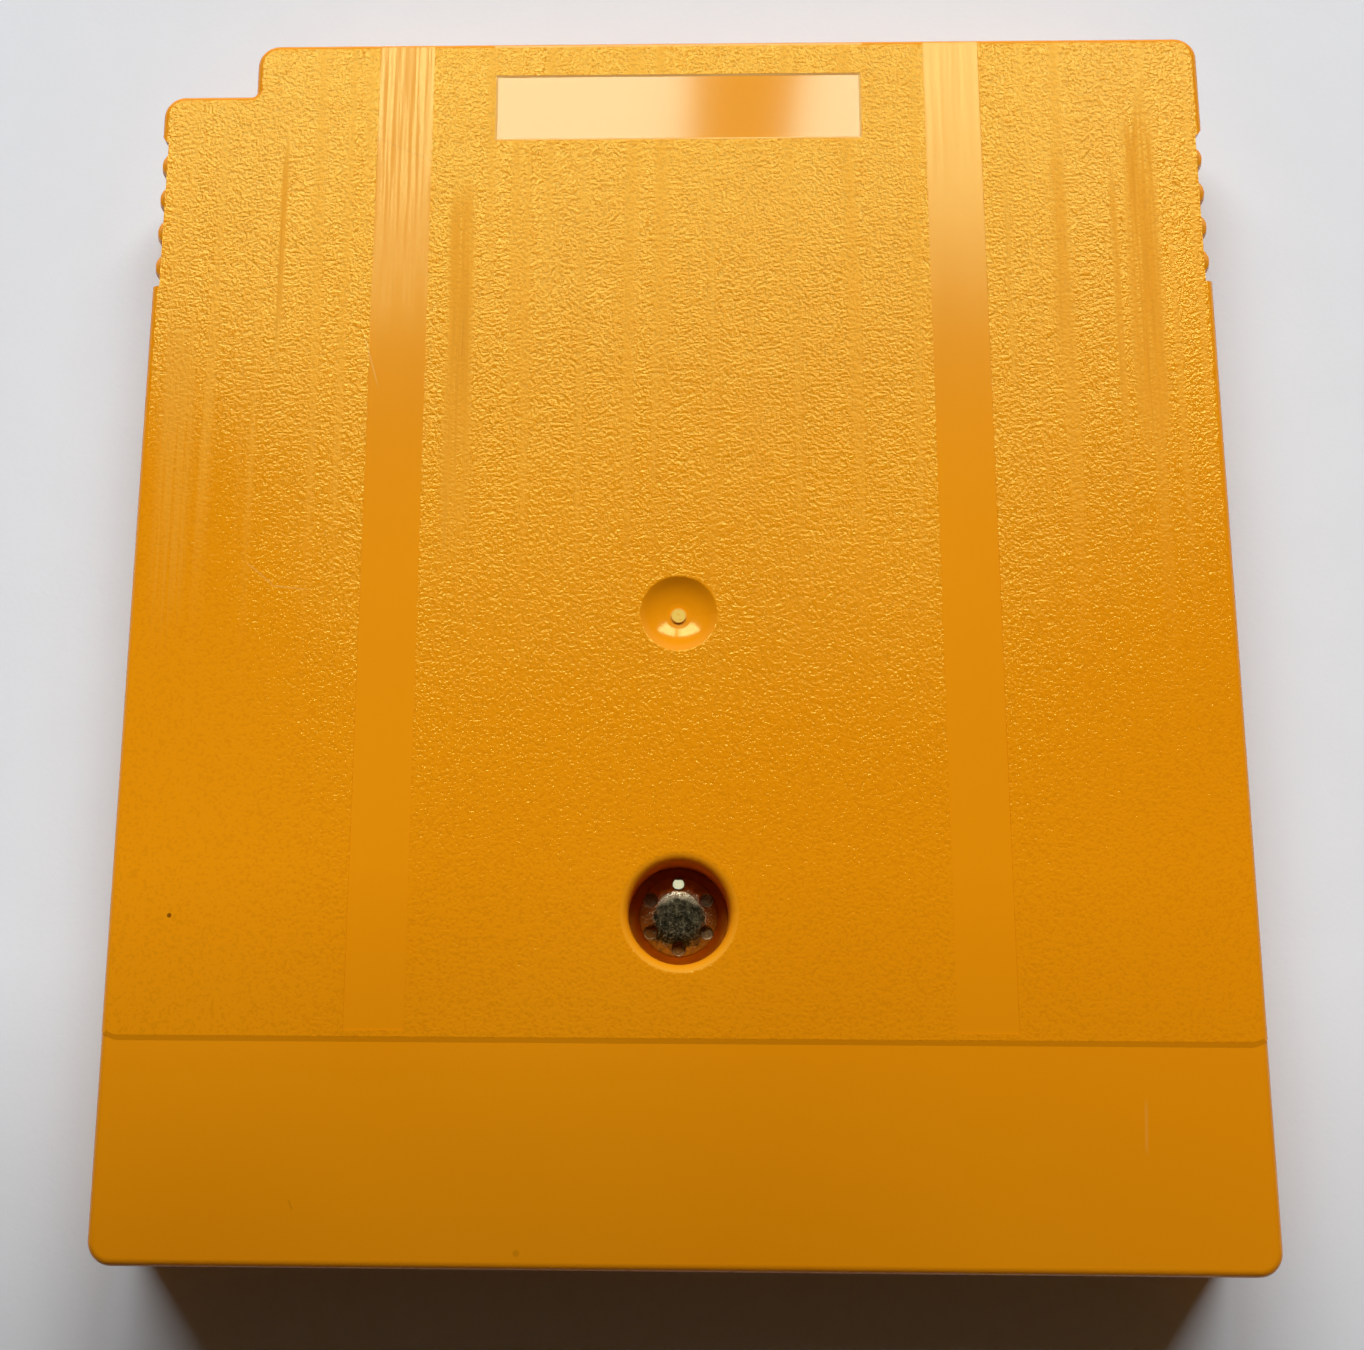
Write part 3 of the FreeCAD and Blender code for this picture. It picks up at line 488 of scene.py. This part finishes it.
def screwPiece(look):
    # A profile turned about the screw's axis. On the head the height falls from the crown to the rim along
    # a softened line, and drops by a smooth step inside each flute's circle. On the shank the radius swings
    # to and fro with the height plus the turn's share of the pitch, which gives the thread.
    headRadius = (screwBox[1].x - screwBox[0].x) / 2 * perMetre
    seat = screwTop - look["headHeight"]
    tip = screwBox[0].z * perMetre
    slope = look["crownDrop"] / (headRadius - look["crownRadius"])
    turn = np.linspace(0, 2 * np.pi, look["roundSteps"], endpoint=False)

    firstR, middleR, innerRings = look["innerRings"]
    inner = np.linspace(firstR, middleR, innerRings)
    outer = np.linspace(middleR, headRadius, look["outerRings"])
    headR = np.concatenate([inner, outer[1:]])[:, None]
    past = headR - look["crownRadius"]
    fall = slope * (past + np.sqrt(past ** 2 + look["crownSoft"] ** 2)) / 2
    fall = fall - fall[0]
    edge = np.clip(headR - headRadius + look["edgeRound"], 0, None)
    fall = fall + look["edgeRound"] - np.sqrt(np.clip(look["edgeRound"] ** 2 - edge ** 2, 0, None))
    sector = 2 * np.pi / look["flutes"]
    nearest = (turn - np.pi / 2 + sector / 2) % sector - sector / 2
    apart = np.hypot(headR * np.cos(nearest) - look["fluteCircle"], headR * np.sin(nearest))
    inside = np.clip((look["fluteRadius"] + look["fluteSoft"] - apart) / (2 * look["fluteSoft"]), 0, 1)
    inside = inside ** 2 * (3 - 2 * inside)
    headZ = screwTop - np.maximum(fall, inside * look["fluteDepth"])

    shankZ = np.linspace(seat, tip + look["tipTaper"], look["shankRings"])[:, None]
    swing = np.abs((shankZ / look["threadPitch"] + turn / (2 * np.pi)) % 1 * 2 - 1)
    swing = swing * np.clip((seat - shankZ) / look["threadFrom"], 0, 1)
    shankR = look["shankRadius"] - look["threadDepth"] * swing
    tipRadius = look["shankRadius"] - look["tipTaper"]
    rings = [
        (np.broadcast_to(headR, headZ.shape), headZ),
        (np.full((1, turn.size), headRadius), np.full((1, turn.size), seat)),
        (shankR, np.broadcast_to(shankZ, shankR.shape)),
        (np.full((1, turn.size), tipRadius), np.full((1, turn.size), tip)),
    ]
    radius = np.concatenate([ring[0] for ring in rings])
    height = np.concatenate([ring[1] for ring in rings])
    points = np.stack([radius * np.cos(turn), radius * np.sin(turn) + screwY, height], 2) * mm
    index = np.arange(radius.size).reshape(radius.shape)
    after = np.roll(index, -1, 1)
    sides = np.stack([index[:-1], index[1:], after[1:], after[:-1]], 2).reshape(-1, 4)
    caps = [index[0].tolist(), index[-1][::-1].tolist()]
    mesh = bpy.data.meshes.new("screwPiece")
    mesh.from_pydata(points.reshape(-1, 3).tolist(), [], sides.tolist() + caps)
    mesh.polygons.foreach_set("use_smooth", np.ones(len(mesh.polygons), bool))
    piece = bpy.data.objects.new("screwPiece", mesh)
    bpy.context.scene.collection.objects.link(piece)
    mesh.materials.append(screwSteel(look))
    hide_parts("security_screw")
    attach(piece, "root")


def screwSteel(look):
    # Dull speckled crown, brighter slopes round it, a painted highlight on the crown's edge towards the
    # window, one clean flute and grime in the others
    material, start = newMaterial("screwSteel")
    place = ownPlace(start)
    y, z = place.parts()[1:]
    flat = place.stretched(1, 1, 0)
    distance = flat.apart(0, screwY)
    gripward = y - screwY
    cloud = place.noise(*look["cloud"]) - noiseMiddle
    # The crown's patina is pulled back on the window side, and pale steel is laid there as a painted
    # highlight
    ragged = distance + cloud * look["crownRagged"] + gripward * look["crownLeanFromLight"]
    crown = ragged.fall(*look["crownEdge"])
    paintedHighlight = (distance + cloud).between(*look["paintedHighlightRing"]) * gripward.rise(*look["paintedHighlightSide"])
    specks = place.noise(*look["speck"]).rise(*look["speckLevels"])

    floors = []
    for count, grime in enumerate(look["fluteGrime"], 1):
        turn = np.pi / 2 + count * 2 * np.pi / look["flutes"]
        middle = (look["fluteCircle"] * np.cos(turn), look["fluteCircle"] * np.sin(turn) + screwY)
        floors.append((*middle, look["fluteRadius"], grime))
    grimy = spotMask(flat, floors) * cloud.fall(*look["grimeLevels"])

    spotY, spotRadius = look["cleanSpot"]
    cleanTop, cleanFoot = look["cleanDepth"]
    bright = flat.apart(0, screwY + spotY).fall(spotRadius - look["cleanSoft"], spotRadius)
    bright = bright * z.fall(screwTop - cleanFoot, screwTop - cleanTop)
    bright = bright * gripward.fall(look["flatSide"] - look["flatSoft"], look["flatSide"] + look["flatSoft"])

    paleShare = specks * look["patinaSpecks"] + cloud * look["patinaCloud"] + look["patinaBase"]
    patina = paleShare.blend(look["patina"], look["patinaPale"])
    colour = crown.blend(look["steel"], patina)
    colour = paintedHighlight.blend(colour, look["paintedHighlightSteel"])
    colour = grimy.blend(colour, look["grime"])
    colour = bright.blend(colour, look["brightSteel"])
    roughness = look["slopeRough"] + crown * (look["crownRough"] - look["slopeRough"])
    roughness = roughness + grimy * look["grimeDull"]
    roughness = roughness + bright * (look["brightRough"] - roughness)
    relief = specks.bump(look["speckRelief"], 1 - bright)
    setSurface(start, surface(start, Base_Color=colour, Metallic=1.0, Roughness=roughness, Normal=relief))
    return material


plainLooks = {
    "boardLaminate": {
        "nodes": ["circuit_board"],
        "colour": rgb(0.03, 0.16, 0.06),
        "second": rgb(0.05, 0.22, 0.08),
        "perMm": 0.8,
        "rough": 0.38,
        "metal": 0.0,
    },
    "contactPlating": {
        "nodes": ["contact_fingers"],
        "colour": rgb(0.83, 0.60, 0.22),
        "second": rgb(0.66, 0.45, 0.16),
        "perMm": 1.5,
        "rough": 0.25,
        "metal": 1.0,
    },
    "chipResin": {
        "nodes": ["rom_chip", "mapper_chip", "ram_chip", "supervisor_chip", "resistors"],
        "colour": rgb(0.022, 0.022, 0.024),
        "second": rgb(0.04, 0.04, 0.042),
        "perMm": 3.0,
        "rough": 0.55,
        "metal": 0.0,
    },
    "leadTin": {
        "nodes": ["rom_chip_leads", "mapper_chip_leads", "ram_chip_leads", "supervisor_chip_leads",
                  "capacitor_caps", "resistor_caps"],
        "colour": rgb(0.62, 0.62, 0.60),
        "second": rgb(0.45, 0.45, 0.43),
        "perMm": 2.0,
        "rough": 0.35,
        "metal": 1.0,
    },
    "cellSteel": {
        "nodes": ["coin_cell", "cell_lower_tab", "cell_upper_tab"],
        "colour": rgb(0.68, 0.68, 0.66),
        "second": rgb(0.55, 0.55, 0.53),
        "perMm": 0.9,
        "rough": 0.24,
        "metal": 1.0,
    },
    "capacitorCeramic": {
        "nodes": ["capacitors"],
        "colour": rgb(0.36, 0.21, 0.10),
        "second": rgb(0.44, 0.28, 0.15),
        "perMm": 4.0,
        "rough": 0.5,
        "metal": 0.0,
    },
}
plainCloud = {"detail": 4.0, "rough": 0.6, "levels": (0.42, 0.66), "dull": 0.15, "relief": 0.004}


def plainFinish(name, look, pattern):
    # Two shades of one colour, with the second one also rougher
    material, start = newMaterial(name)
    cloud = ownPlace(start).noise(look["perMm"], pattern["detail"], pattern["rough"])
    dull = cloud.rise(*pattern["levels"])
    colour = dull.blend(look["colour"], look["second"])
    roughness = look["rough"] + dull * pattern["dull"]
    relief = cloud.bump(pattern["relief"])
    finish = surface(start, Base_Color=colour, Metallic=look["metal"], Roughness=roughness, Normal=relief)
    setSurface(start, finish)
    return material


dress(casePlastic(caseLook), "rear_shell", "front_shell")
screwPiece(screwLook)
for finishName, finishLook in plainLooks.items():
    dress(plainFinish(finishName, finishLook, plainCloud), *finishLook["nodes"])
print("materials:", len(bpy.data.materials))


def flatPiece(name, left, right, low, high, height):
    # A level rectangle, in millimetres
    corners = [[left, low, height], [right, low, height], [right, high, height], [left, high, height]]
    mesh = bpy.data.meshes.new(name)
    mesh.from_pydata((np.array(corners) * mm).tolist(), [], [(0, 1, 2, 3)])
    piece = bpy.data.objects.new(name, mesh)
    bpy.context.scene.collection.objects.link(piece)
    return piece


floorLook = {
    "reach": 1500,
    "height": -0.02,
    "colour": rgb(0.757, 0.81, 0.86),
    "shade": rgb(0.727, 0.775, 0.825),
    "shading": (0.25, 2.0, 0.6),
    "fibre": (3.0, 2.0, 0.6),
    "fibreRelief": 0.008,
    "rough": 0.85,
}


def paleFloor(look):
    reach = look["reach"]
    floor = flatPiece("paleFloor", -reach, reach, -reach, reach, look["height"])
    material, start = newMaterial("floorFinish")
    place = ownPlace(start)
    colour = place.noise(*look["shading"]).blend(look["colour"], look["shade"])
    relief = place.noise(*look["fibre"]).bump(look["fibreRelief"])
    setSurface(start, surface(start, Base_Color=colour, Roughness=look["rough"], Normal=relief))
    floor.data.materials.append(material)


cardLook = {
    "left": -130,
    "right": 40,
    "low": -80,
    "high": 34,
    "height": 92,
    "colour": rgb(0.01, 0.01, 0.01),
    "rough": 0.9,
}


def shadeCard(look):
    # A dark card over the mouth end, which takes some of the window's light from it
    card = flatPiece("shadeCard", look["left"], look["right"], look["low"], look["high"], look["height"])
    card.visible_camera = False
    material, start = newMaterial("cardFinish")
    setSurface(start, surface(start, Base_Color=look["colour"], Roughness=look["rough"]))
    card.data.materials.append(material)


windowLight = {
    "distance": 0.42,
    "low": 0.36,
    "high": 0.78,
    "left": -0.36,
    "right": 0.36,
    "barLeft": 0.0144,
    "barRight": 0.0658,
    "radiance": 11.3,
    "colour": (1.0, 1.0, 1.0),
    "barRadiance": 3.0,
    "barColour": (1.0, 0.48, 0.03),
}


def windowPanes(look):
    # Two upright panes beyond the grip end, with a dim warm bar between them, in metres
    middle = (look["low"] + look["high"]) / 2
    for name, left, right, radiance, colour in (
        ("leftPane", look["left"], look["barLeft"], look["radiance"], look["colour"]),
        ("windowBar", look["barLeft"], look["barRight"], look["barRadiance"], look["barColour"]),
        ("rightPane", look["barRight"], look["right"], look["radiance"], look["colour"]),
    ):
        data = bpy.data.lights.new(name, "AREA")
        data.shape = "RECTANGLE"
        data.size = right - left
        data.size_y = look["high"] - look["low"]
        data.energy = radiance * np.pi * data.size * data.size_y
        data.color = colour
        pane = bpy.data.objects.new(name, data)
        pane.location = ((left + right) / 2, look["distance"], middle)
        pane.rotation_euler = (-np.pi / 2, 0, 0)
        pane.visible_camera = False
        bpy.context.scene.collection.objects.link(pane)


lampLook = {"place": (1.1, -6.0, 90.5), "size": 2.4, "radiance": 1.8}


def cameraLamp(look):
    # A very small lamp beside the camera, seen only in the screw's clean flute
    data = bpy.data.lights.new("cameraLamp", "AREA")
    data.shape = "SQUARE"
    data.size = look["size"] * mm
    data.energy = look["radiance"] * np.pi * data.size ** 2
    lamp = bpy.data.objects.new("cameraLamp", data)
    lamp.location = Vector(look["place"]) * mm
    lamp.visible_camera = False
    bpy.context.scene.collection.objects.link(lamp)


roomLook = {
    "fill": rgb(0.081, 0.039, 0.014),
    "pale": rgb(0.72, 0.72, 0.73),
    "horizon": (0.05, 0.45),
    "dimSide": (-0.3, 0.3),  # mirrored rays see the pale part only towards the window
}


def room(look):
    # A dim room all round, which is pale near the horizon where it is seen directly or in a reflection
    world = bpy.data.worlds.new("room")
    bpy.context.scene.world = world
    world.use_nodes = True
    world.node_tree.nodes.clear()
    start = Wire(world.node_tree)
    direct, glossy, passed = [
        start.node("ShaderNodeLightPath", output=name)
        for name in ("Is Camera Ray", "Is Glossy Ray", "Is Transmission Ray")
    ]
    depth, height = start.node("ShaderNodeTexCoord", output="Generated").parts()[1:]
    mirrored = (glossy + passed) * depth.rise(*look["dimSide"])
    share = (direct + mirrored).atMost(1) * (1 - height.rise(*look["horizon"]))
    colour = share.blend(look["fill"], look["pale"])
    background = start.node("ShaderNodeBackground", {}, {"Color": colour, "Strength": 1.0})
    start.node("ShaderNodeOutputWorld", {}, {"Surface": background})


cameraView = {
    "place": (-1.105, -21.973, 92.524),
    "aim": (-3.408, -3.52, 7.8),
    "right": (0.99965, 0.00675, -0.0257),
    "axisPixels": 70,  # how far the optical axis is left of the middle of the picture
    "focalPixels": 1700,
    "imageWidth": 1364,
    "sensor": 36,
    "nearest": 1,
}


def addCamera(view):
    place = Vector(view["place"]) * mm
    forward = (Vector(view["aim"]) * mm - place).normalized()
    right = Vector(view["right"])
    right = (right - right.dot(forward) * forward).normalized()
    turn = Matrix((right, right.cross(forward), -forward)).transposed().to_4x4()
    data = bpy.data.cameras.new("camera")
    data.sensor_width = view["sensor"]
    data.lens = view["sensor"] * view["focalPixels"] / view["imageWidth"]
    data.shift_x = view["axisPixels"] / view["imageWidth"]
    data.clip_start = view["nearest"] * mm
    camera = bpy.data.objects.new("camera", data)
    camera.matrix_world = Matrix.Translation(place) @ turn
    bpy.context.scene.collection.objects.link(camera)
    bpy.context.scene.camera = camera


paleFloor(floorLook)
shadeCard(cardLook)
windowPanes(windowLight)
cameraLamp(lampLook)
room(roomLook)
addCamera(cameraView)
bpy.context.scene.view_settings.view_transform = "Standard"
print("stage: floor, card, window, lamp, room and camera")
